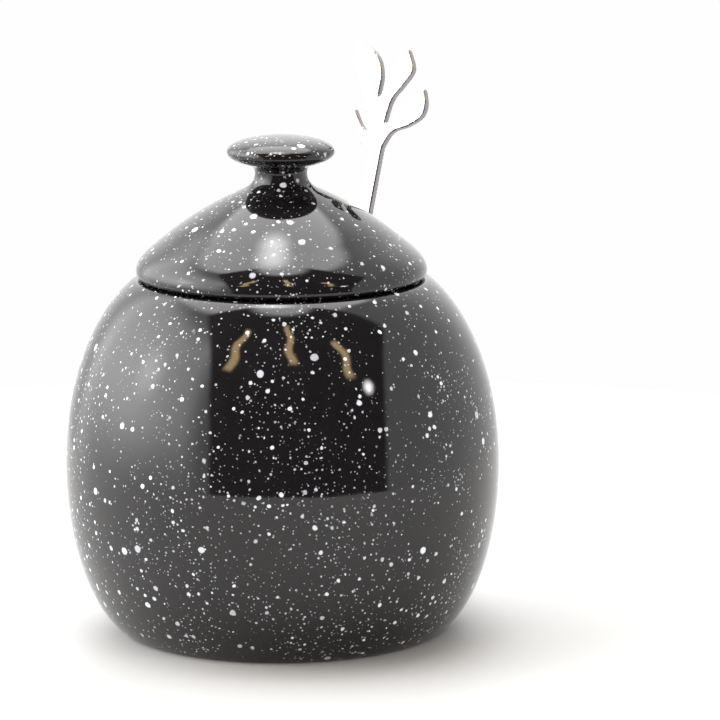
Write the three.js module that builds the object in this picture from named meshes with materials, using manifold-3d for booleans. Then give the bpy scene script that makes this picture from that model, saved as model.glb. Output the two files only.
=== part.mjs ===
// Round-bellied stoneware sugar bowl with a domed lid and a leaf-handled spoon.
// Units are millimetres, +Z is up. The origin is the middle of the foot, on the table.
// The spoon notch in the lid faces +Y.
import * as THREE from "three";
import { mergeVertices } from "three/addons/utils/BufferGeometryUtils.js";
import Module from "manifold-3d";

const wasm = await Module();
wasm.setup();

// ---- Driving dimensions ----
const ROUND_STEPS = 56; // facets round the bowl and the lid
const CURVE_STEPS = 6; // points along each curve of a profile
const SEAT_GAP = 0.3; // clear space where one piece rests on another

const bowl = {
  bellyRadius: 50,
  bellyHeight: 39, // height of the widest circle
  footRadius: 36.5,
  footWidth: 4,
  footRecess: 1.6, // the base inside the foot ring is this far off the table
  footBevelWidth: 1.7, // outside the foot ring, where the belly starts
  footBevelHeight: 0.9,
  floorTop: 6,
  wall: 3.8,
  mouthRadius: 30.6, // inside the neck
  lipOuterRadius: 34.6,
  lipTop: 81.9,
  lipFlatWidth: 1.8,
  lipBevel: 0.8,
  neckBottom: 77.5, // the straight inside of the mouth ends here
};

const lid = {
  rimRadius: 33.4,
  rimUnderside: bowl.lipTop + SEAT_GAP,
  rimWidestHeight: 83.7,
  rimRounding: 1.6,
  flangeOuterRadius: 29.8, // drops inside the bowl's mouth with 0.8 mm to spare
  flangeWidth: 3,
  flangeDepth: 4.6,
  domeInsideTop: 98,
  neckRadius: 6,
  neckHeight: 106.2,
  knobRadius: 12.4,
  knobHalfHeight: 3.7,
  knobCentreHeight: 111.1,
  knobUndersideMeet: -0.8, // where the neck meets the knob, as a share of its half height
  notchWidth: 9,
  notchInnerEnd: 22.4, // distance from the axis to the closed end of the notch
};

const spoon = {
  leanDegrees: 19, // away from upright, towards the notch
  thickness: 1.6,
  dishTop: 40, // where the dish meets the stem
  dishLength: 41.2,
  dishWidth: 25,
  dishDepth: 6.4,
  dishWall: 1.2,
  dishTiltDegrees: 8, // the tip reaches forward of the stem
  dishEgg: 0.13, // how much wider than its middle the dish is towards the stem
  neckHalfWidth: 2.4, // where the stem leaves the dish
  stemHalfWidth: 1.75, // where the stem meets the leaves
  stemTop: 109,
  stemInDish: 3, // how far the stem runs down into the dish, to join it
  stemTaper: 24, // most of the stem's taper is over this length
  reach: 29.66, // distance from the axis to the stem's middle at the height of the lip
};

const glazeBlack = new THREE.MeshStandardMaterial({ color: 0x0b0a0b, roughness: 0.06, metalness: 0 });
const steel = new THREE.MeshStandardMaterial({ color: 0xcfcfd2, roughness: 0.12, metalness: 1 });

// ---- Solids ----
// A closed three.js geometry as a manifold-3d solid.
function solidOf(geometry) {
  const bare = geometry.index ? geometry.toNonIndexed() : geometry.clone();
  bare.deleteAttribute("normal");
  bare.deleteAttribute("uv");
  const merged = mergeVertices(bare, 1e-4);
  return new wasm.Manifold(
    new wasm.Mesh({
      numProp: 3,
      vertProperties: merged.attributes.position.array,
      triVerts: new Uint32Array(merged.index.array),
    }),
  );
}

// A manifold-3d solid as a three.js geometry.
function geometryOf(solid) {
  const mesh = solid.getMesh();
  const geometry = new THREE.BufferGeometry();
  geometry.setAttribute("position", new THREE.BufferAttribute(mesh.vertProperties, 3));
  geometry.setIndex(new THREE.BufferAttribute(mesh.triVerts, 1));
  geometry.computeVertexNormals();
  return geometry;
}

// Turns a closed profile, drawn as (radius, height), round the Z axis.
function turned(profile, steps = ROUND_STEPS) {
  const isNew = (p, i, all) => i === 0 || p.distanceTo(all[i - 1]) > 1e-3;
  const points = profile.getPoints(CURVE_STEPS).filter(isNew);
  for (const p of points) {
    if (p.x < 1e-6) p.x = 0;
  }
  return new THREE.LatheGeometry(points, steps).rotateX(Math.PI / 2);
}

function piece(name, geometry, material) {
  const mesh = new THREE.Mesh(geometry, material);
  mesh.name = name;
  return mesh;
}

// ---- Bowl ----
function bowlBody() {
  const inside = bowl.bellyRadius - bowl.wall;
  const lipMiddle = (bowl.mouthRadius + bowl.lipOuterRadius) / 2;
  const footInside = bowl.footRadius - bowl.footWidth;
  const profile = new THREE.Path();
  profile.moveTo(0, bowl.footRecess);
  profile.lineTo(footInside - bowl.footRecess, bowl.footRecess);
  profile.lineTo(footInside, 0);
  profile.lineTo(bowl.footRadius, 0);
  profile.lineTo(bowl.footRadius + bowl.footBevelWidth, bowl.footBevelHeight);
  // Up the outside to the belly, then over the shoulder to the lip.
  profile.bezierCurveTo(45.5, 7, bowl.bellyRadius, 22, bowl.bellyRadius, bowl.bellyHeight);
  profile.bezierCurveTo(bowl.bellyRadius, 58, 43.3, 73.9, bowl.lipOuterRadius, bowl.lipTop - bowl.lipBevel);
  profile.lineTo(lipMiddle + bowl.lipFlatWidth / 2, bowl.lipTop);
  profile.lineTo(lipMiddle - bowl.lipFlatWidth / 2, bowl.lipTop);
  profile.lineTo(bowl.mouthRadius, bowl.lipTop - bowl.lipBevel);
  profile.lineTo(bowl.mouthRadius, bowl.neckBottom);
  // Down the inside to the floor.
  profile.bezierCurveTo(39.8, 71.5, inside, 56, inside, 40);
  profile.bezierCurveTo(inside, 22, 43, bowl.floorTop, 31, bowl.floorTop);
  profile.lineTo(0, bowl.floorTop);
  return piece("bowl_body", turned(profile), glazeBlack);
}

// ---- Lid ----
function lidProfile() {
  const flangeInside = lid.flangeOuterRadius - lid.flangeWidth;
  const flangeBottom = lid.rimUnderside - lid.flangeDepth;
  const profile = new THREE.Path();
  profile.moveTo(0, lid.domeInsideTop);
  // Down the inside of the dome and round the flange.
  profile.bezierCurveTo(15, 97, flangeInside - 0.4, 89, flangeInside, 84);
  profile.lineTo(flangeInside, flangeBottom);
  profile.lineTo(lid.flangeOuterRadius, flangeBottom);
  profile.lineTo(lid.flangeOuterRadius, lid.rimUnderside);
  // Out to the rounded rim and up over the dome.
  profile.lineTo(lid.rimRadius - lid.rimRounding, lid.rimUnderside);
  profile.quadraticCurveTo(lid.rimRadius, lid.rimUnderside, lid.rimRadius, lid.rimWidestHeight);
  profile.bezierCurveTo(33.5, 86.6, 29.6, 89.3, 25.2, 92.8);
  profile.bezierCurveTo(20.5, 96.5, 14.5, 99.9, 8.9, 102.4);
  profile.bezierCurveTo(7, 103.25, lid.neckRadius, 104.3, lid.neckRadius, lid.neckHeight);
  // Under the knob, then round its flattened ball to the top.
  const under = Math.asin(lid.knobUndersideMeet);
  const meet = new THREE.Vector2(lid.knobRadius * Math.cos(under), lid.knobHalfHeight * Math.sin(under));
  profile.bezierCurveTo(6, 107.2, 6.5, 107.8, meet.x, lid.knobCentreHeight + meet.y);
  profile.absellipse(0, lid.knobCentreHeight, lid.knobRadius, lid.knobHalfHeight, under, Math.PI / 2, false, 0);
  return profile;
}

function lidWithNotch() {
  const half = lid.notchWidth / 2;
  const past = 4; // how far the cutter reaches out past the rim
  const height = 40;
  const outline = new THREE.Shape();
  outline.moveTo(half, lid.rimRadius + past);
  outline.lineTo(-half, lid.rimRadius + past);
  outline.lineTo(-half, lid.notchInnerEnd + half);
  outline.absarc(0, lid.notchInnerEnd + half, half, Math.PI, 2 * Math.PI, false);
  const cutter = new THREE.ExtrudeGeometry(outline, { depth: height, bevelEnabled: false, curveSegments: 8 });
  cutter.translate(0, 0, lid.rimUnderside - height / 2);
  const notched = solidOf(turned(lidProfile())).subtract(solidOf(cutter));
  return piece("lid", geometryOf(notched), glazeBlack);
}

// ---- Spoon ----
// Its own frame: the stem runs up +Z from the tip of the dish, the face looks along -Y, the width is along X.

// Stands a shape drawn as (width, length along the stem) up as a plate of the spoon's thickness.
function plate(shape) {
  const options = { depth: spoon.thickness, bevelEnabled: false, curveSegments: 5 };
  const standing = new THREE.ExtrudeGeometry(shape, options).rotateX(Math.PI / 2);
  return solidOf(standing.translate(0, spoon.thickness, 0));
}

// A leaf from its two edges, each a list of points from the stalk to the tip.
function leaf(oneEdge, otherEdge) {
  const toVector = ([x, y]) => new THREE.Vector2(x, y);
  const up = oneEdge.map(toVector);
  const down = otherEdge.map(toVector).reverse();
  const shape = new THREE.Shape();
  shape.moveTo(up[0].x, up[0].y);
  shape.splineThru(up.slice(1));
  shape.splineThru(down.slice(1));
  return shape;
}

function leaves() {
  return [
    // tall leaf, up and to the left
    leaf(
      [[0.6, 110], [-1, 116], [-1.9, 120.3], [-2, 124.4], [-3.6, 128.3], [-6.6, 130.8], [-10.9, 132.2]],
      [[-2.6, 109], [-4.6, 116], [-8.4, 122.6], [-10.8, 127.4], [-10.9, 132.2]],
    ),
    // slim leaf, up and to the right
    leaf(
      [[1.2, 110], [1.3, 114.4], [2.2, 119.2], [4.6, 122.8], [6.4, 126.6], [4.1, 131.2]],
      [[-1.4, 110], [-1.4, 118.8], [-0.4, 122], [0.8, 127], [4.1, 131.2]],
    ),
    // low leaf on the right
    leaf(
      [[1, 105.5], [2.1, 108.4], [3.9, 111.4], [7.9, 113.2], [11.1, 115.6], [11.7, 118.8], [10.4, 122.2]],
      [[0, 110], [1.5, 113.1], [3.4, 114.2], [5.4, 118.2], [10.4, 122.2]],
    ),
    // short leaf on the left
    leaf(
      [[-0.6, 103.8], [-2.4, 106.4], [-5.6, 109.2], [-7.9, 112.4], [-8, 116.2]],
      [[0, 108.8], [-3, 110.6], [-5.4, 112.6], [-8, 116.2]],
    ),
  ];
}

function stem() {
  const shape = new THREE.Shape();
  const foot = spoon.dishTop - spoon.stemInDish;
  shape.moveTo(spoon.neckHalfWidth, foot);
  shape.quadraticCurveTo(spoon.stemHalfWidth + 0.1, foot + spoon.stemTaper, spoon.stemHalfWidth, spoon.stemTop);
  shape.lineTo(-spoon.stemHalfWidth, spoon.stemTop);
  shape.quadraticCurveTo(-spoon.stemHalfWidth - 0.1, foot + spoon.stemTaper, -spoon.neckHalfWidth, foot);
  return plate(shape);
}

// The dish is a shallow turned shell, stretched into an egg that is widest towards the stem.
function dish() {
  const wall = spoon.dishWall;
  const profile = new THREE.Path();
  const deep = spoon.dishDepth;
  profile.moveTo(0, -deep);
  profile.bezierCurveTo(0.55, -deep, 0.86, -deep * 0.6, 1, 0);
  profile.lineTo(1, wall);
  profile.bezierCurveTo(0.8, wall - deep * 0.6, 0.5, wall - deep, 0, wall - deep);
  const shell = turned(profile, 40);
  const position = shell.attributes.position;
  for (let i = 0; i < position.count; i++) {
    const along = position.getY(i);
    const width = (spoon.dishWidth / 2) * (1 + spoon.dishEgg * along);
    position.setXYZ(i, position.getX(i) * width, -position.getZ(i), (along * spoon.dishLength) / 2);
  }
  shell.translate(0, spoon.thickness, -spoon.dishLength / 2);
  shell.rotateX(-THREE.MathUtils.degToRad(spoon.dishTiltDegrees));
  shell.translate(0, 0, spoon.dishTop);
  return solidOf(shell);
}

function leafSpoon() {
  const whole = leaves().map(plate).reduce((sum, part) => sum.add(part), stem().add(dish()));
  return piece("spoon", geometryOf(whole), steel);
}

// Leans the spoon back into the notch, with its dish standing on the floor of the bowl.
function placedSpoon() {
  const lean = THREE.MathUtils.degToRad(spoon.leanDegrees);
  const group = new THREE.Group();
  group.add(leafSpoon());
  group.rotation.x = -lean;
  const lowest = new THREE.Box3().setFromObject(group, true).min.z;
  group.position.z = bowl.floorTop + SEAT_GAP - lowest;
  const rise = bowl.lipTop - group.position.z;
  group.position.y = spoon.reach - (rise * Math.tan(lean) + spoon.thickness / 2 / Math.cos(lean));
  return group;
}

const sugarBowl = new THREE.Group();
sugarBowl.add(bowlBody(), lidWithNotch(), placedSpoon());

export default sugarBowl;
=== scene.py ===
"""A speckled black sugar bowl with a domed lid and a leaf-handled spoon, on a pale floor under studio light.
The CAD frame gives every piece its place and its outer size. Each piece is rebuilt here as a fine mesh with a
procedural material."""

import math

import bmesh
import bpy
import numpy as np
from mathutils import Matrix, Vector
from mathutils.kdtree import KDTree


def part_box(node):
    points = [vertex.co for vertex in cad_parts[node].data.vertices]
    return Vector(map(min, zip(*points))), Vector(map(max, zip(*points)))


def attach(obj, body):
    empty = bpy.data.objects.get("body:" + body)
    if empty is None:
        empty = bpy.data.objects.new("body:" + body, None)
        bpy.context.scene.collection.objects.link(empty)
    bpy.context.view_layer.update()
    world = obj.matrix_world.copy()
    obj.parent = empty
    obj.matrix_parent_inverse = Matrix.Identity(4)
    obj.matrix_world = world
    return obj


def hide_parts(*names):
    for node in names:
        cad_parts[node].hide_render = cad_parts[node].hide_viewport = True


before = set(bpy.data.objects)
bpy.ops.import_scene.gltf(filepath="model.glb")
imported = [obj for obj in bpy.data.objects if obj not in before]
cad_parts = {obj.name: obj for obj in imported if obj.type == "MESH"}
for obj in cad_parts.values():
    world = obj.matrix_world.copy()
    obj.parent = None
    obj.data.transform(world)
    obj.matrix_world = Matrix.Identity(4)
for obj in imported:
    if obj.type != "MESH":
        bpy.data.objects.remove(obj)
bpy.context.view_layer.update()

MM = 0.001

# ---- Sizes from the CAD frame, in millimetres ----
BOWL_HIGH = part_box("bowl_body")[1] / MM
LID_LOW, LID_HIGH = (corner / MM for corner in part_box("lid"))
BELLY = BOWL_HIGH.x
LIP_TOP = BOWL_HIGH.z
RIM = LID_HIGH.x
FLANGE_BOTTOM = LID_LOW.z
KNOB_TOP = LID_HIGH.z

# ---- Camera ----
VIEW_AZIMUTH = 36.0  # degrees, 0 looks along +Y
CAMERA_DISTANCE = 1.2  # metres from the bowl's axis, over the floor
CAMERA_HEIGHT = 0.291
CAMERA_PITCH = 10.78  # degrees below the horizon
CAMERA_YAW = 0.855  # degrees to the right of the bowl's axis
CAMERA_ROLL = -0.18
CAMERA_LENS = 265.6


# ---- Curves ----
def bezier(start, first, second, end, steps=40):
    """Points along a cubic curve, both ends included."""
    t = np.linspace(0, 1, steps + 1)[:, None]
    a, b, c, d = (np.array(p, float) for p in (start, first, second, end))
    return (1 - t) ** 3 * a + 3 * (1 - t) ** 2 * t * b + 3 * (1 - t) * t * t * c + t**3 * d


def soft_path(corners, steps=8):
    """Points along straight lines whose corners are rounded.
    A corner is (x, y, how far back the rounding starts)."""
    points = []
    for i, (x, y, reach) in enumerate(corners):
        here = np.array((x, y), float)
        if not reach:
            points.append(here)
            continue
        back = np.array(corners[i - 1][:2]) - here
        ahead = np.array(corners[i + 1][:2]) - here
        start = here + back / np.linalg.norm(back) * reach
        end = here + ahead / np.linalg.norm(ahead) * reach
        for t in np.linspace(0, 1, steps):
            points.append((1 - t) ** 2 * start + 2 * t * (1 - t) * here + t * t * end)
    return np.array(points)


def joined(*stretches):
    """One path from several, without repeated points."""
    points = np.vstack(stretches)
    steps = np.linalg.norm(np.diff(points, axis=0), axis=1)
    return points[np.concatenate([[True], steps > 1e-4])]


def resampled(path, spacing):
    """The same path with evenly spaced points."""
    travelled = np.concatenate([[0], np.cumsum(np.linalg.norm(np.diff(path, axis=0), axis=1))])
    places = np.linspace(0, travelled[-1], max(2, int(travelled[-1] / spacing) + 1))
    return np.stack([np.interp(places, travelled, path[:, i]) for i in range(2)], axis=1)


# ---- Profiles, as (radius, height) in millimetres ----
FOOT_RADIUS = 36.5
FOOT_INSIDE = 32.5
FOOT_RECESS = 1.6
BEVEL = (FOOT_RADIUS + 1.7, 0.9)  # outside the foot ring, where the belly starts
BELLY_HEIGHT = 39.0  # height of the widest circle
FLOOR_TOP = 6.0
WALL = 3.8
MOUTH = 30.6
LIP_OUTSIDE = (34.6, LIP_TOP - 0.7)
NECK_BOTTOM = 77.5  # the straight inside of the mouth ends here
FLANGE_OUTSIDE = 29.8
FLANGE_INSIDE = 26.8
FLANGE_TOP = 84.0  # where the inside of the dome starts
SEAT = LIP_TOP + 0.3  # underside of the lid's rim
RIM_WIDEST_HEIGHT = 83.7
NECK_RADIUS = 6.0
NECK_HEIGHT = 106.2
KNOB_RADIUS = 12.4
KNOB_HALF_HEIGHT = 3.7
KNOB_UNDERSIDE_MEET = -0.8  # where the neck meets the knob, as a share of its half height


def bowl_profile():
    inside = BELLY - WALL
    foot = soft_path(
        [
            (0, FOOT_RECESS, 0),
            (FOOT_INSIDE - 1.2, FOOT_RECESS, 0.6),
            (FOOT_INSIDE, 0, 0.5),
            (FOOT_RADIUS, 0, 0.6),
            (*BEVEL, 0),
        ]
    )
    belly = bezier(BEVEL, (45.5, 7), (BELLY, 22), (BELLY, BELLY_HEIGHT), 60)
    shoulder = bezier((BELLY, BELLY_HEIGHT), (BELLY, 58), (43.3, 73.9), LIP_OUTSIDE, 70)
    lip = soft_path(
        [
            (*LIP_OUTSIDE, 0),
            (33.6, LIP_TOP, 0.5),
            (MOUTH + 0.9, LIP_TOP, 0.8),
            (MOUTH, LIP_TOP - 1.6, 0.8),
            (MOUTH, NECK_BOTTOM, 1.2),
            (MOUTH + 2, 76.2, 0),
        ]
    )
    inner_shoulder = bezier((MOUTH + 2, 76.2), (40.4, 70.9), (inside, 56), (inside, 40), 50)
    bottom = bezier((inside, 40), (inside, 22), (43, FLOOR_TOP), (31, FLOOR_TOP), 50)
    return joined(foot, belly, shoulder, lip, inner_shoulder, bottom, [(0, FLOOR_TOP)])


def lid_profile():
    ceiling = bezier((0, 98), (15, 97), (FLANGE_INSIDE - 0.4, 89), (FLANGE_INSIDE, FLANGE_TOP), 60)
    flange = soft_path(
        [
            (FLANGE_INSIDE, FLANGE_TOP, 0),
            (FLANGE_INSIDE, FLANGE_BOTTOM, 1.2),
            (FLANGE_OUTSIDE, FLANGE_BOTTOM, 1.2),
            (FLANGE_OUTSIDE, SEAT, 0.6),
            (RIM - 1.6, SEAT, 0),
        ]
    )
    rim = bezier((RIM - 1.6, SEAT), (RIM - 0.5, SEAT), (RIM, SEAT + 0.7), (RIM, RIM_WIDEST_HEIGHT), 16)
    skirt = bezier((RIM, RIM_WIDEST_HEIGHT), (33.5, 86.6), (29.6, 89.3), (25.2, 92.8), 40)
    dome = bezier((25.2, 92.8), (20.5, 96.5), (14.5, 99.9), (8.9, 102.4), 40)
    neck = bezier((8.9, 102.4), (7, 103.25), (NECK_RADIUS, 104.3), (NECK_RADIUS, NECK_HEIGHT), 20)
    angles = np.linspace(math.asin(KNOB_UNDERSIDE_MEET), math.pi / 2, 60)
    knob_heights = KNOB_TOP - KNOB_HALF_HEIGHT + KNOB_HALF_HEIGHT * np.sin(angles)
    knob = np.stack([KNOB_RADIUS * np.cos(angles), knob_heights], axis=1)
    under_knob = bezier((NECK_RADIUS, NECK_HEIGHT), (NECK_RADIUS, 107.2), (6.5, 107.8), knob[0], 12)
    return joined(ceiling, flange, rim, skirt, dome, neck, under_knob, knob)


# ---- Meshes ----
def new_object(name, mesh):
    obj = bpy.data.objects.new(name, mesh)
    bpy.context.scene.collection.objects.link(obj)
    return obj


def shade_smooth(mesh):
    mesh.polygons.foreach_set("use_smooth", [True] * len(mesh.polygons))


def turned(name, profile, segments):
    """A solid of revolution about the Z axis from a profile that starts and ends on the axis."""
    ring = np.linspace(0, 2 * math.pi, segments, endpoint=False)
    inner = profile[1:-1] * MM
    x = np.outer(inner[:, 0], np.cos(ring))
    y = np.outer(inner[:, 0], np.sin(ring))
    rings = np.stack([x, y, np.repeat(inner[:, 1:], segments, 1)], axis=2)
    ends = [(0, 0, profile[0, 1] * MM), (0, 0, profile[-1, 1] * MM)]
    vertices = np.vstack([rings.reshape(-1, 3), ends])
    first_end, last_end = len(vertices) - 2, len(vertices) - 1
    faces = []
    for row in range(len(inner) - 1):
        for i in range(segments):
            j = (i + 1) % segments
            a, b = row * segments, (row + 1) * segments
            faces.append((a + i, a + j, b + j, b + i))
    last = (len(inner) - 1) * segments
    for i in range(segments):
        j = (i + 1) % segments
        faces.append((first_end, j, i))
        faces.append((last_end, last + i, last + j))
    mesh = bpy.data.meshes.new(name)
    mesh.from_pydata(vertices.tolist(), [], faces)
    shade_smooth(mesh)
    return new_object(name, mesh)


def remeshed(name, node, voxel):
    """A fine even mesh in the shape of a CAD node."""
    rough = new_object(name + "_rough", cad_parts[node].data.copy())
    remesh = rough.modifiers.new("remesh", "REMESH")
    remesh.mode = "VOXEL"
    remesh.voxel_size = voxel * MM
    evaluated = rough.evaluated_get(bpy.context.evaluated_depsgraph_get())
    mesh = bpy.data.meshes.new_from_object(evaluated)
    bpy.data.objects.remove(rough)
    mesh.name = name
    mesh.materials.clear()
    shade_smooth(mesh)
    return new_object(name, mesh)


FLATTEST = 0.05  # a gradient's squared length counts as at least this
LONGEST_MOVE = 0.4


def settle(obj, field, rounds=5):
    """Moves each vertex onto the surface where the field is 0.
    The field takes points in millimetres and gives values and gradients."""
    mesh = obj.data
    flat = np.empty(len(mesh.vertices) * 3)
    mesh.vertices.foreach_get("co", flat)
    points = flat.reshape(-1, 3) / MM
    for _ in range(rounds):
        value, gradient = field(points)
        length = np.maximum((gradient**2).sum(1), FLATTEST)
        move = np.clip(value / length, -LONGEST_MOVE, LONGEST_MOVE)
        points = points - gradient * move[:, None]
    mesh.vertices.foreach_set("co", (points * MM).ravel())
    mesh.update()


def blend_weight(a, b, reach):
    return np.clip(0.5 + 0.5 * (a - b) / reach, 0, 1)


def soft_max(a, b, reach):
    h = blend_weight(a, b, reach)
    return b * (1 - h) + a * h + reach * h * (1 - h)


def soft_min(a, b, reach):
    return -soft_max(-a, -b, reach)


# ---- Lid ----
NOTCH_HALF = 4.5
NOTCH_CENTRE = 26.9  # distance from the axis to the middle of the notch's round end
NOTCH_SOFTNESS = 0.9


def lid_field():
    """The turned lid with the spoon's notch cut out of it, its edges softened as glaze softens them."""
    outline = resampled(lid_profile(), 0.05)
    tangent = np.gradient(outline, axis=0)
    normal = np.stack([tangent[:, 1], -tangent[:, 0]], axis=1)
    normal /= np.linalg.norm(normal, axis=1)[:, None]
    tree = KDTree(len(outline))
    for i, (radius, height) in enumerate(outline):
        tree.insert((radius, height, 0), i)
    tree.balance()

    def field(points):
        radius = np.maximum(np.hypot(points[:, 0], points[:, 1]), 1e-6)
        near = np.array([tree.find((r, z, 0))[1] for r, z in zip(radius, points[:, 2])])
        side = normal[near]
        body = (radius - outline[near, 0]) * side[:, 0] + (points[:, 2] - outline[near, 1]) * side[:, 1]
        out = side[:, 0] / radius
        body_gradient = np.stack([points[:, 0] * out, points[:, 1] * out, side[:, 1]], axis=1)
        across = points[:, 0]
        along = np.minimum(points[:, 1] - NOTCH_CENTRE, 0)
        reach = np.maximum(np.hypot(across, along), 1e-6)
        cut = NOTCH_HALF - reach
        cut_gradient = np.stack([-across / reach, -along / reach, np.zeros(len(points))], axis=1)
        h = blend_weight(body, cut, NOTCH_SOFTNESS)[:, None]
        return soft_max(body, cut, NOTCH_SOFTNESS), body_gradient * h + cut_gradient * (1 - h)

    return field


# ---- Spoon ----
SPOON_LEAN = math.radians(19)
SPOON_THICKNESS = 1.6
HANDLE_TOP = 132.2  # the tip of the tallest leaf, as a length along the stem, like those below
DISH_TOP = 40.0  # where the dish meets the stem
DISH_LENGTH = 41.2
DISH_EGG = 0.13  # how much wider than its middle the dish is towards the stem
DISH_WIDTH = 25.0
DISH_DEPTH = 6.4
DISH_WALL = 1.2
DISH_TILT = math.radians(8)
NECK_HALF = 2.4
STEM_HALF = 1.75
STEM_TOP = 109.0
STEM_FOOT = DISH_TOP - 3
LEAVES_START = STEM_TOP - 8  # below this the leaves are too far off to matter
HANDLE_SOFTNESS = 0.2
LEAF_SOFTNESS = 0.5
DISH_SOFTNESS = 0.3
DISH_JOIN = 1.0  # how far the handle and the dish run into each other
RIM_SLOPE = 24.0  # carries both faces of the dish on past its rim, so that they stay smooth there
RIM_STEEPNESS = 1.6  # how much the dish's walls steepen towards the rim

# Each leaf has two edges, from its stalk to its tip, as (width, length along the stem).
LEAVES = [
    (
        [(0.6, 110), (-1, 116), (-1.9, 120.3), (-2, 124.4), (-3.6, 128.3), (-6.6, 130.8), (-10.9, 132.2)],
        [(-2.6, 109), (-4.6, 116), (-8.4, 122.6), (-10.8, 127.4), (-10.9, 132.2)],
    ),
    (
        [(1.2, 110), (1.3, 114.4), (2.2, 119.2), (4.6, 122.8), (6.4, 126.6), (4.1, 131.2)],
        [(-1.4, 110), (-1.4, 118.8), (-0.4, 122), (0.8, 127), (4.1, 131.2)],
    ),
    (
        [(1, 105.5), (2.1, 108.4), (3.9, 111.4), (7.9, 113.2), (11.1, 115.6), (11.7, 118.8), (10.4, 122.2)],
        [(0, 110), (1.5, 113.1), (3.4, 114.2), (5.4, 118.2), (10.4, 122.2)],
    ),
    (
        [(-0.6, 103.8), (-2.4, 106.4), (-5.6, 109.2), (-7.9, 112.4), (-8, 116.2)],
        [(0, 108.8), (-3, 110.6), (-5.4, 112.6), (-8, 116.2)],
    ),
]


def smooth_through(points, steps=10):
    """A curve through all the points, each stretch bent by the points on either side of it."""
    p = np.array(points, float)
    p = np.vstack([p[0], p, p[-1]])
    t = np.linspace(0, 1, steps, endpoint=False)[:, None]
    stretches = []
    for a, b, c, d in zip(p, p[1:], p[2:], p[3:]):
        bent = 2 * b + (c - a) * t + (2 * a - 5 * b + 4 * c - d) * t**2 + (3 * b - a - 3 * c + d) * t**3
        stretches.append(bent / 2)
    return np.vstack([*stretches, p[-1:]])


def signed_distance(points, outline):
    """Distance in the plane from each point to a closed outline, negative inside it."""
    nearest = np.full(len(points), np.inf)
    inside = np.zeros(len(points), bool)
    for a, b in zip(outline, np.roll(outline, -1, axis=0)):
        edge = b - a
        length = edge @ edge
        if length < 1e-12:
            continue
        offset = points - a
        along = np.clip((offset @ edge) / length, 0, 1)
        nearest = np.minimum(nearest, ((offset - along[:, None] * edge) ** 2).sum(1))
        if edge[1]:
            crosses = (a[1] > points[:, 1]) != (b[1] > points[:, 1])
            inside ^= crosses & (points[:, 0] < a[0] + (points[:, 1] - a[1]) * edge[0] / edge[1])
    return np.where(inside, -1, 1) * np.sqrt(nearest)


def handle_value(points, leaf_outlines):
    """The flat stem and leaves, with softened edges."""
    width, depth, length = points.T
    middle = (STEM_FOOT + STEM_TOP) / 2
    reach = (STEM_TOP - STEM_FOOT) / 2
    share = np.clip((length - STEM_FOOT) / (STEM_TOP - STEM_FOOT), 0, 1)
    half = NECK_HALF * (1 - share) ** 2 + 2 * (STEM_HALF + 0.1) * share * (1 - share) + STEM_HALF * share**2
    plan = np.maximum(np.abs(width) - half, np.abs(length - middle) - reach)
    leafy = length > LEAVES_START
    flat = points[leafy][:, [0, 2]]
    for outline in leaf_outlines:
        plan[leafy] = soft_min(plan[leafy], signed_distance(flat, outline), LEAF_SOFTNESS)
    thick = np.abs(depth - SPOON_THICKNESS / 2) - SPOON_THICKNESS / 2
    return soft_max(plan, thick, HANDLE_SOFTNESS)


def dish_value(points):
    """A shallow egg-shaped shell, widest towards the stem."""
    width, depth, length = points.T
    y = depth
    z = length - DISH_TOP
    level = y * math.cos(DISH_TILT) - z * math.sin(DISH_TILT) - SPOON_THICKNESS
    along = (y * math.sin(DISH_TILT) + z * math.cos(DISH_TILT) + DISH_LENGTH / 2) / (DISH_LENGTH / 2)
    half = DISH_WIDTH / 2 * (1 + DISH_EGG * along)
    out = np.hypot(width / half, along)
    outside = bezier((0, DISH_DEPTH), (0.55, DISH_DEPTH), (0.86, DISH_DEPTH * 0.6), (1, 0))
    inner_depth = DISH_DEPTH - DISH_WALL
    inner_bend = (0.8, DISH_DEPTH * 0.6 - DISH_WALL)
    inside = bezier((1, -DISH_WALL), inner_bend, (0.5, inner_depth), (0, inner_depth))[::-1]
    past = np.maximum(out - 1, 0) * RIM_SLOPE
    back = level - (np.interp(out, outside[:, 0], outside[:, 1]) - past)
    front = (np.interp(out, inside[:, 0], inside[:, 1]) - past) - level
    steep = np.sqrt(1 + (out**4 * RIM_STEEPNESS) ** 2)
    rim = (out - 1) * DISH_WIDTH / 2
    return soft_max(soft_max(back, front, DISH_SOFTNESS) / steep, rim, DISH_SOFTNESS)


def spoon_field():
    """The handle and the dish run together, in the row's axes."""
    cosine, sine = math.cos(SPOON_LEAN), math.sin(SPOON_LEAN)
    turn = np.array([[1, 0, 0], [0, cosine, sine], [0, -sine, cosine]])  # own axes to the row's axes
    cad = np.array([v.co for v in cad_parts["spoon"].data.vertices]) / MM @ turn
    top = cad[:, 2].max()
    leaf_tips = 5
    face = cad[cad[:, 2] > top - leaf_tips][:, 1].min()
    origin = np.array([0, face, top - HANDLE_TOP])
    outlines = [np.vstack([smooth_through(one), smooth_through(other)[::-1]]) for one, other in LEAVES]

    def value(points):
        return soft_min(handle_value(points, outlines), dish_value(points), DISH_JOIN)

    def field(points):
        own = points @ turn - origin
        here = value(own)
        step = 0.01
        slopes = []
        for axis in np.eye(3) * step:
            slopes.append((value(own + axis) - here) / step)
        return here, np.stack(slopes, axis=1) @ turn.T

    return field


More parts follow.
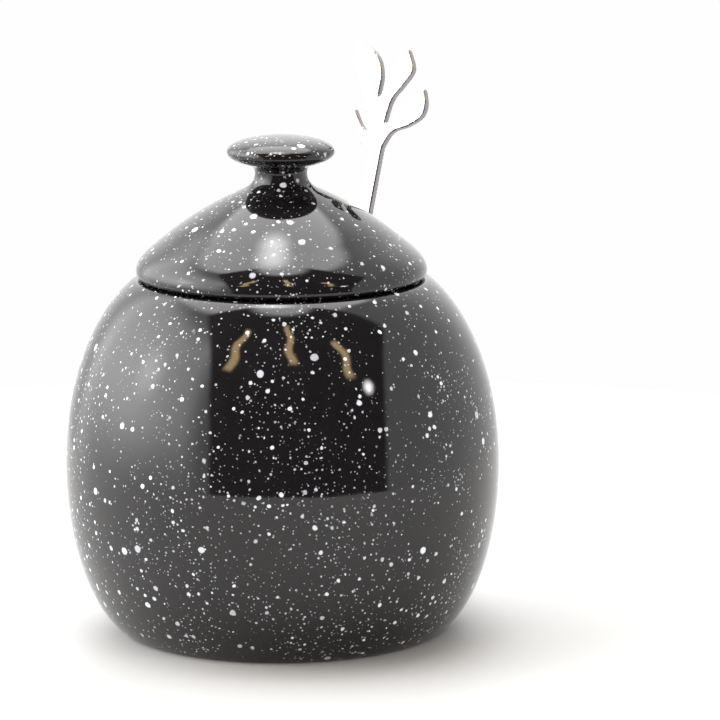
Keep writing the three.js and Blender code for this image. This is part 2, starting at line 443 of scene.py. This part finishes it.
# ---- Material nodes ----
class Nodes:
    """Short calls for building one node tree."""

    def __init__(self, owner):
        owner.use_nodes = True
        self.tree = owner.node_tree
        self.tree.nodes.clear()

    def add(self, kind, **settings):
        node = self.tree.nodes.new(kind)
        for name, value in settings.items():
            setattr(node, name, value)
        return node

    def put(self, socket, value):
        if isinstance(value, bpy.types.NodeSocket):
            self.tree.links.new(value, socket)
        elif value is not None:
            socket.default_value = value

    def math(self, operation, a, b=None, c=None):
        node = self.add("ShaderNodeMath", operation=operation)
        for socket, value in zip(node.inputs, (a, b, c)):
            self.put(socket, value)
        return node.outputs[0]

    def ramp(self, value, low, high, to_low=0.0, to_high=1.0):
        """Smoothly from to_low to to_high as value goes from low to high."""
        node = self.add("ShaderNodeMapRange", interpolation_type="SMOOTHSTEP")
        names = ("Value", "From Min", "From Max", "To Min", "To Max")
        for name, number in zip(names, (value, low, high, to_low, to_high)):
            self.put(node.inputs[name], number)
        return node.outputs["Result"]

    def mix(self, share, a, b):
        node = self.add("ShaderNodeMix", data_type="RGBA")
        self.put(node.inputs["Factor"], share)
        self.put(node.inputs["A"], a)
        self.put(node.inputs["B"], b)
        return node.outputs["Result"]

    def noise(self, position, scale, detail=2.0, roughness=0.5):
        node = self.add("ShaderNodeTexNoise")
        self.put(node.inputs["Vector"], position)
        for name, number in (("Scale", scale), ("Detail", detail), ("Roughness", roughness)):
            node.inputs[name].default_value = number
        return node.outputs["Fac"]

    def bump(self, height, distance, strength=1.0, under=None):
        node = self.add("ShaderNodeBump")
        self.put(node.inputs["Height"], height)
        self.put(node.inputs["Normal"], under)
        node.inputs["Distance"].default_value = distance
        node.inputs["Strength"].default_value = strength
        return node.outputs["Normal"]


def rgb(red, green, blue):
    return (red, green, blue, 1.0)


def speck_layer(nodes, position, spacing, smallest, largest, share, edge):
    """How white each point is under one size of specks.
    Sizes are in millimetres, and share is how many of the cells hold a speck."""
    cells = nodes.add("ShaderNodeTexVoronoi", feature="F1")
    nodes.put(cells.inputs["Vector"], position)
    cells.inputs["Scale"].default_value = 1 / (spacing * MM)
    cells.inputs["Randomness"].default_value = 1.0
    channels = nodes.add("ShaderNodeSeparateColor")
    nodes.put(channels.inputs[0], cells.outputs["Color"])
    size = nodes.math("POWER", channels.outputs[0], 2.0)
    radius = nodes.ramp(size, 0.0, 1.0, smallest / spacing, largest / spacing)
    gap = nodes.math("SUBTRACT", radius, cells.outputs["Distance"])
    dot = nodes.ramp(gap, -edge / spacing, edge / spacing)
    present = nodes.math("LESS_THAN", channels.outputs[1], share)
    strength = nodes.ramp(channels.outputs[2], 0.0, 1.0, 0.55, 1.0)
    return nodes.math("MULTIPLY", nodes.math("MULTIPLY", dot, present), strength)


def glaze_material():
    material = bpy.data.materials.new("speckled_black_glaze")
    nodes = Nodes(material)
    position = nodes.add("ShaderNodeTexCoord").outputs["Object"]
    wobble = nodes.add("ShaderNodeTexNoise")
    nodes.put(wobble.inputs["Vector"], position)
    wobble.inputs["Scale"].default_value = 900.0
    shift = nodes.add("ShaderNodeVectorMath", operation="MULTIPLY_ADD")
    nodes.put(shift.inputs[0], wobble.outputs["Color"])
    shift.inputs[1].default_value = (0.0005, 0.0005, 0.0005)
    nodes.put(shift.inputs[2], position)
    uneven = shift.outputs[0]
    crowd = nodes.noise(position, 45.0, 1.0)
    crowded = nodes.ramp(crowd, 0.35, 0.65, 0.3, 1.0)

    large = speck_layer(nodes, uneven, 4.4, 0.35, 0.9, 0.55, 0.12)
    medium = speck_layer(nodes, uneven, 2.1, 0.2, 0.52, crowded, 0.09)
    small = speck_layer(nodes, uneven, 0.9, 0.1, 0.26, crowded, 0.07)
    faint = nodes.math("MULTIPLY", small, 0.6)
    white = nodes.math("MAXIMUM", nodes.math("MAXIMUM", large, medium), faint)

    tone = nodes.noise(position, 160.0, 3.0)
    black = nodes.mix(tone, rgb(0.0035, 0.003, 0.0032), rgb(0.009, 0.008, 0.0085))
    speck = nodes.mix(tone, rgb(0.62, 0.66, 0.74), rgb(0.86, 0.87, 0.9))

    rolling = nodes.noise(position, 55.0, 1.0)
    peel = nodes.noise(position, 420.0, 2.0)
    normal = nodes.bump(peel, 0.00001, 0.5, nodes.bump(rolling, 0.0002, 0.35))

    shader = nodes.add("ShaderNodeBsdfPrincipled")
    nodes.put(shader.inputs["Base Color"], nodes.mix(white, black, speck))
    nodes.put(shader.inputs["Roughness"], nodes.ramp(peel, 0.3, 0.7, 0.035, 0.06))
    nodes.put(shader.inputs["Normal"], normal)
    shader.inputs["IOR"].default_value = 1.52
    output = nodes.add("ShaderNodeOutputMaterial")
    nodes.put(output.inputs["Surface"], shader.outputs[0])
    return material


def clay_material():
    """Bare fired stoneware, where the pot stood in the kiln."""
    material = bpy.data.materials.new("bare_stoneware")
    nodes = Nodes(material)
    position = nodes.add("ShaderNodeTexCoord").outputs["Object"]
    grain = nodes.noise(position, 1800.0, 4.0, 0.7)
    cloud = nodes.noise(position, 130.0, 3.0)
    pale = nodes.mix(cloud, rgb(0.3, 0.22, 0.16), rgb(0.43, 0.33, 0.25))
    shader = nodes.add("ShaderNodeBsdfPrincipled")
    grog = nodes.ramp(grain, 0.6, 0.72)
    nodes.put(shader.inputs["Base Color"], nodes.mix(grog, pale, rgb(0.16, 0.11, 0.08)))
    nodes.put(shader.inputs["Roughness"], nodes.ramp(grain, 0.3, 0.7, 0.75, 0.92))
    nodes.put(shader.inputs["Normal"], nodes.bump(grain, 0.00006, 0.8))
    output = nodes.add("ShaderNodeOutputMaterial")
    nodes.put(output.inputs["Surface"], shader.outputs[0])
    return material


def steel_material():
    """Polished stainless steel with faint marks of use along the stem."""
    material = bpy.data.materials.new("polished_steel")
    nodes = Nodes(material)
    position = nodes.add("ShaderNodeTexCoord").outputs["Object"]
    stretch = nodes.add("ShaderNodeMapping")
    nodes.put(stretch.inputs["Vector"], position)
    stretch.inputs["Rotation"].default_value = (SPOON_LEAN, 0, 0)
    stretch.inputs["Scale"].default_value = (1, 1, 0.06)
    scratches = nodes.noise(stretch.outputs[0], 2600.0, 3.0, 0.7)
    smears = nodes.noise(position, 90.0, 3.0)
    shader = nodes.add("ShaderNodeBsdfPrincipled")
    shader.inputs["Metallic"].default_value = 1.0
    colour = nodes.mix(smears, rgb(0.52, 0.505, 0.512), rgb(0.6, 0.588, 0.594))
    nodes.put(shader.inputs["Base Color"], colour)
    scratched = nodes.ramp(scratches, 0.3, 0.75, 0.07, 0.16)
    smeared = nodes.ramp(smears, 0.4, 0.7, 0.0, 0.05)
    nodes.put(shader.inputs["Roughness"], nodes.math("ADD", scratched, smeared))
    nodes.put(shader.inputs["Normal"], nodes.bump(scratches, 0.000004, 0.6))
    output = nodes.add("ShaderNodeOutputMaterial")
    nodes.put(output.inputs["Surface"], shader.outputs[0])
    return material


def rough_shaded_edge_material():
    """The narrow sides of the handle. They are rougher than its faces from the cutting of the sheet, and
    their darker colour is painted shade that stands in for the shadow these thin sides lie in.
    """
    material = bpy.data.materials.new("cut_steel_edge_painted_shade")
    nodes = Nodes(material)
    position = nodes.add("ShaderNodeTexCoord").outputs["Object"]
    grain = nodes.noise(position, 3200.0, 3.0, 0.7)
    shader = nodes.add("ShaderNodeBsdfPrincipled")
    shader.inputs["Metallic"].default_value = 1.0
    # Painted shade: the sides' colour is kept darker than the faces' steel to stand in for their shadow.
    nodes.put(shader.inputs["Base Color"], nodes.mix(grain, rgb(0.3, 0.28, 0.29), rgb(0.38, 0.355, 0.365)))
    nodes.put(shader.inputs["Roughness"], nodes.ramp(grain, 0.3, 0.7, 0.34, 0.44))
    nodes.put(shader.inputs["Normal"], nodes.bump(grain, 0.000008, 0.6))
    output = nodes.add("ShaderNodeOutputMaterial")
    nodes.put(output.inputs["Surface"], shader.outputs[0])
    return material


def paint(obj, *materials, choose=None):
    """Gives an object its materials.
    choose picks the material's number from a face's centre, in millimetres, and its normal."""
    for material in materials:
        obj.data.materials.append(material)
    if choose:
        for face in obj.data.polygons:
            face.material_index = choose(face.center / MM, face.normal)


# ---- Pieces ----
glaze = glaze_material()
clay = clay_material()
steel = steel_material()
rough_shaded_edge = rough_shaded_edge_material()
CLAY_HEIGHT = 0.35  # the foot ring is bare up to here
CLAY_RISE = 0.4  # and the flange is bare this far up from its end
FACE_NORMAL = 0.75  # a face whose normal is less than this along the handle's thickness is on its side


def on_foot_ring(centre, _normal):
    radius = math.hypot(centre.x, centre.y)
    return int(centre.z < CLAY_HEIGHT and radius > FOOT_INSIDE - 0.5)


def on_flange_end(centre, normal):
    return int(centre.z < FLANGE_BOTTOM + CLAY_RISE and normal.z < -0.3)


def on_handle_side(centre, normal):
    """Whether a face is on one of the narrow sides, counting only the handle above the bowl's lip."""
    through = normal.y * math.cos(SPOON_LEAN) - normal.z * math.sin(SPOON_LEAN)
    return int(centre.z > LIP_TOP and abs(through) < FACE_NORMAL)


def make_bowl():
    pot = turned("bowl_body_glazed", bowl_profile(), 240)
    paint(pot, glaze, clay, choose=on_foot_ring)
    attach(pot, "bowl")
    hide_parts("bowl_body")


def make_lid():
    lid = remeshed("lid_glazed", "lid", 0.5)
    settle(lid, lid_field())
    paint(lid, glaze, clay, choose=on_flange_end)
    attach(lid, "lid")
    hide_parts("lid")


def make_spoon():
    spoon = remeshed("spoon_polished", "spoon", 0.3)
    settle(spoon, spoon_field())
    # The handle's narrow sides get the darker steel, which is painted shade.
    paint(spoon, steel, rough_shaded_edge, choose=on_handle_side)
    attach(spoon, "spoon")
    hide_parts("spoon")


make_bowl()
make_lid()
make_spoon()


# ---- Floor, in metres ----
FLOOR_RADIUS = 0.3
FLOOR_LIGHT_DISTANCE = 0.42  # from the bowl's axis, over the floor
FLOOR_LIGHT_HEIGHT = 0.2
SIDE_LIGHT_WATTS = 1.2
FRONT_LIGHT_WATTS = 0.9


def make_floor():
    mesh = bpy.data.meshes.new("floor")
    shape = bmesh.new()
    bmesh.ops.create_circle(shape, cap_ends=True, radius=FLOOR_RADIUS, segments=96)
    shape.to_mesh(mesh)
    shape.free()
    floor = new_object("floor", mesh)
    material = bpy.data.materials.new("pale_floor")
    nodes = Nodes(material)
    position = nodes.add("ShaderNodeTexCoord").outputs["Object"]
    shader = nodes.add("ShaderNodeBsdfPrincipled")
    mottle = nodes.noise(position, 3.0, 2.0)
    colour = nodes.mix(mottle, rgb(0.48, 0.48, 0.48), rgb(0.5, 0.5, 0.5))
    nodes.put(shader.inputs["Base Color"], colour)
    shader.inputs["Roughness"].default_value = 0.6
    output = nodes.add("ShaderNodeOutputMaterial")
    nodes.put(output.inputs["Surface"], shader.outputs[0])
    mesh.materials.append(material)


make_floor()


def make_floor_light(name, turn, watts):
    """Brightens the floor from turn degrees to the right of the camera, and shows in no reflection."""
    data = bpy.data.lights.new(name, "AREA")
    data.shape = "RECTANGLE"
    data.size = 0.4
    data.size_y = 0.3
    data.energy = watts
    light = bpy.data.objects.new(name, data)
    bpy.context.scene.collection.objects.link(light)
    angle = math.radians(VIEW_AZIMUTH + turn)
    light.location = (
        math.sin(angle) * FLOOR_LIGHT_DISTANCE,
        -math.cos(angle) * FLOOR_LIGHT_DISTANCE,
        FLOOR_LIGHT_HEIGHT,
    )
    light.rotation_euler = (-light.location).to_track_quat("-Z", "Y").to_euler()
    light.visible_glossy = False
    light.visible_camera = False


make_floor_light("side_light", -95, SIDE_LIGHT_WATTS)
make_floor_light("front_light", 25, FRONT_LIGHT_WATTS)


# ---- Studio light ----
# The warm strips in the tent's opening, as azimuth, elevation, half width and half length in degrees.
STRIPS = ((-36, 50, 3.0, 13), (7, 56, 3.0, 13), (45, 42, 2.5, 10))
# The opening's sides and their softness. They run where a glossy ball, seen from the camera's place, shows
# them as upright lines this far from its middle, in radii.
OPENING_LEFT = -0.335
OPENING_RIGHT = 0.475
OPENING_SOFTNESS = 0.016


def studio():
    """A white tent that is open in front, with a large soft light on the left and one overhead.
    It stays where it is when the camera moves. Angles are in degrees, turned so that azimuth 0 is the way to
    the camera's place and positive is to its right."""
    world = bpy.data.worlds.new("studio")
    bpy.context.scene.world = world
    nodes = Nodes(world)
    direction = nodes.add("ShaderNodeTexCoord").outputs["Generated"]
    turn = nodes.add("ShaderNodeVectorRotate", rotation_type="Z_AXIS")
    nodes.put(turn.inputs["Vector"], direction)
    turn.inputs["Angle"].default_value = -math.radians(VIEW_AZIMUTH)
    parts = nodes.add("ShaderNodeSeparateXYZ")
    nodes.put(parts.inputs[0], turn.outputs[0])
    x, y, z = parts.outputs
    azimuth = nodes.math("DEGREES", nodes.math("ARCTAN2", x, nodes.math("MULTIPLY", y, -1.0)))
    elevation = nodes.math("DEGREES", nodes.math("ARCSINE", z))

    def between(value, low, high, soft):
        rise = nodes.ramp(value, low - soft, low + soft)
        fall = nodes.ramp(value, high - soft, high + soft, 1.0, 0.0)
        return nodes.math("MULTIPLY", rise, fall)

    def patch(azimuths, elevations, soft):
        across = between(azimuth, *azimuths, soft)
        return nodes.math("MULTIPLY", across, between(elevation, *elevations, soft))

    def glow(azimuth_at, elevation_at, spread):
        """1 in the middle, fading out spread degrees from it."""
        a, e = math.radians(azimuth_at), math.radians(elevation_at)
        aim = (math.sin(a) * math.cos(e), -math.cos(a) * math.cos(e), math.sin(e))
        dot = nodes.add("ShaderNodeVectorMath", operation="DOT_PRODUCT")
        nodes.put(dot.inputs[0], turn.outputs[0])
        dot.inputs[1].default_value = aim
        angle = nodes.math("DEGREES", nodes.math("ARCCOSINE", dot.outputs["Value"]))
        return nodes.ramp(angle, 0.0, spread, 1.0, 0.0)

    # Half way between each direction and a fixed one, where a ball would have to face to mirror the two.
    pitch = math.radians(CAMERA_PITCH)
    both = nodes.add("ShaderNodeVectorMath", operation="ADD")
    nodes.put(both.inputs[0], turn.outputs[0])
    both.inputs[1].default_value = (0.0, -math.cos(pitch), math.sin(pitch))
    halfway = nodes.add("ShaderNodeVectorMath", operation="NORMALIZE")
    nodes.put(halfway.inputs[0], both.outputs[0])
    halves = nodes.add("ShaderNodeSeparateXYZ")
    nodes.put(halves.inputs[0], halfway.outputs[0])

    def lit(under, share, strength):
        """Raises the light to strength where share is 1."""
        return nodes.mix(share, under, rgb(strength, strength, strength))

    light = nodes.mix(glow(180, 35, 50), rgb(1.15, 1.15, 1.15), rgb(2.2, 2.2, 2.2))
    low_side = nodes.ramp(elevation, -14.0, 14.0, 0.2, 1.0)
    panel = nodes.math("MULTIPLY", patch((-142.0, -50.0), (-35.0, 49.0), 9.0), low_side)
    light = lit(light, panel, 3.5)
    light = lit(light, nodes.math("MULTIPLY", glow(-92, 20, 40), low_side), 5.8)
    light = lit(light, glow(-88, 23, 13), 8.0)
    light = lit(light, nodes.ramp(glow(-168, 73, 60), 0.45, 0.6), 4.8)
    light = lit(light, glow(-150, 83, 11), 15.0)
    sides = between(halves.outputs[0], OPENING_LEFT, OPENING_RIGHT, OPENING_SOFTNESS)
    opening = nodes.math("MULTIPLY", sides, between(elevation, -60.0, 79.0, 3.5))
    opening = nodes.math("MULTIPLY", opening, between(azimuth, -90.0, 90.0, 4.0))
    light = nodes.mix(opening, light, rgb(0.12, 0.115, 0.12))
    sway = nodes.math("MULTIPLY", nodes.math("SINE", nodes.math("MULTIPLY", elevation, 0.4)), 1.5)
    swaying = nodes.math("ADD", azimuth, sway)
    for place, height, width, length in STRIPS:
        across = between(swaying, place - width, place + width, 1.5)
        along = between(elevation, height - length, height + length, 1.5)
        strip = nodes.math("MULTIPLY", across, along)
        light = nodes.mix(strip, light, rgb(7.0, 5.0, 2.7))
    light = lit(light, glow(53, 26, 4), 26.0)

    background = nodes.add("ShaderNodeBackground")
    nodes.put(background.inputs["Color"], light)
    backdrop = nodes.add("ShaderNodeBackground")
    backdrop.inputs["Color"].default_value = rgb(0.99, 0.99, 0.99)
    chosen = nodes.add("ShaderNodeMixShader")
    nodes.put(chosen.inputs[0], nodes.add("ShaderNodeLightPath").outputs["Is Camera Ray"])
    nodes.put(chosen.inputs[1], background.outputs[0])
    nodes.put(chosen.inputs[2], backdrop.outputs[0])
    output = nodes.add("ShaderNodeOutputWorld")
    nodes.put(output.inputs["Surface"], chosen.outputs[0])


studio()


# ---- Camera ----
def make_camera():
    data = bpy.data.cameras.new("camera")
    data.lens = CAMERA_LENS
    data.sensor_width = 36.0
    data.clip_end = 50.0
    camera = bpy.data.objects.new("camera", data)
    bpy.context.scene.collection.objects.link(camera)
    azimuth = math.radians(VIEW_AZIMUTH)
    camera.location = (
        math.sin(azimuth) * CAMERA_DISTANCE,
        -math.cos(azimuth) * CAMERA_DISTANCE,
        CAMERA_HEIGHT,
    )
    level = Matrix.Rotation(math.radians(90 - CAMERA_PITCH), 4, "X")
    roll = Matrix.Rotation(math.radians(CAMERA_ROLL), 4, "Z")
    heading = Matrix.Rotation(azimuth - math.radians(CAMERA_YAW), 4, "Z")
    camera.rotation_euler = (heading @ level @ roll).to_euler()
    bpy.context.scene.camera = camera


make_camera()
bpy.context.scene.view_settings.view_transform = "Standard"
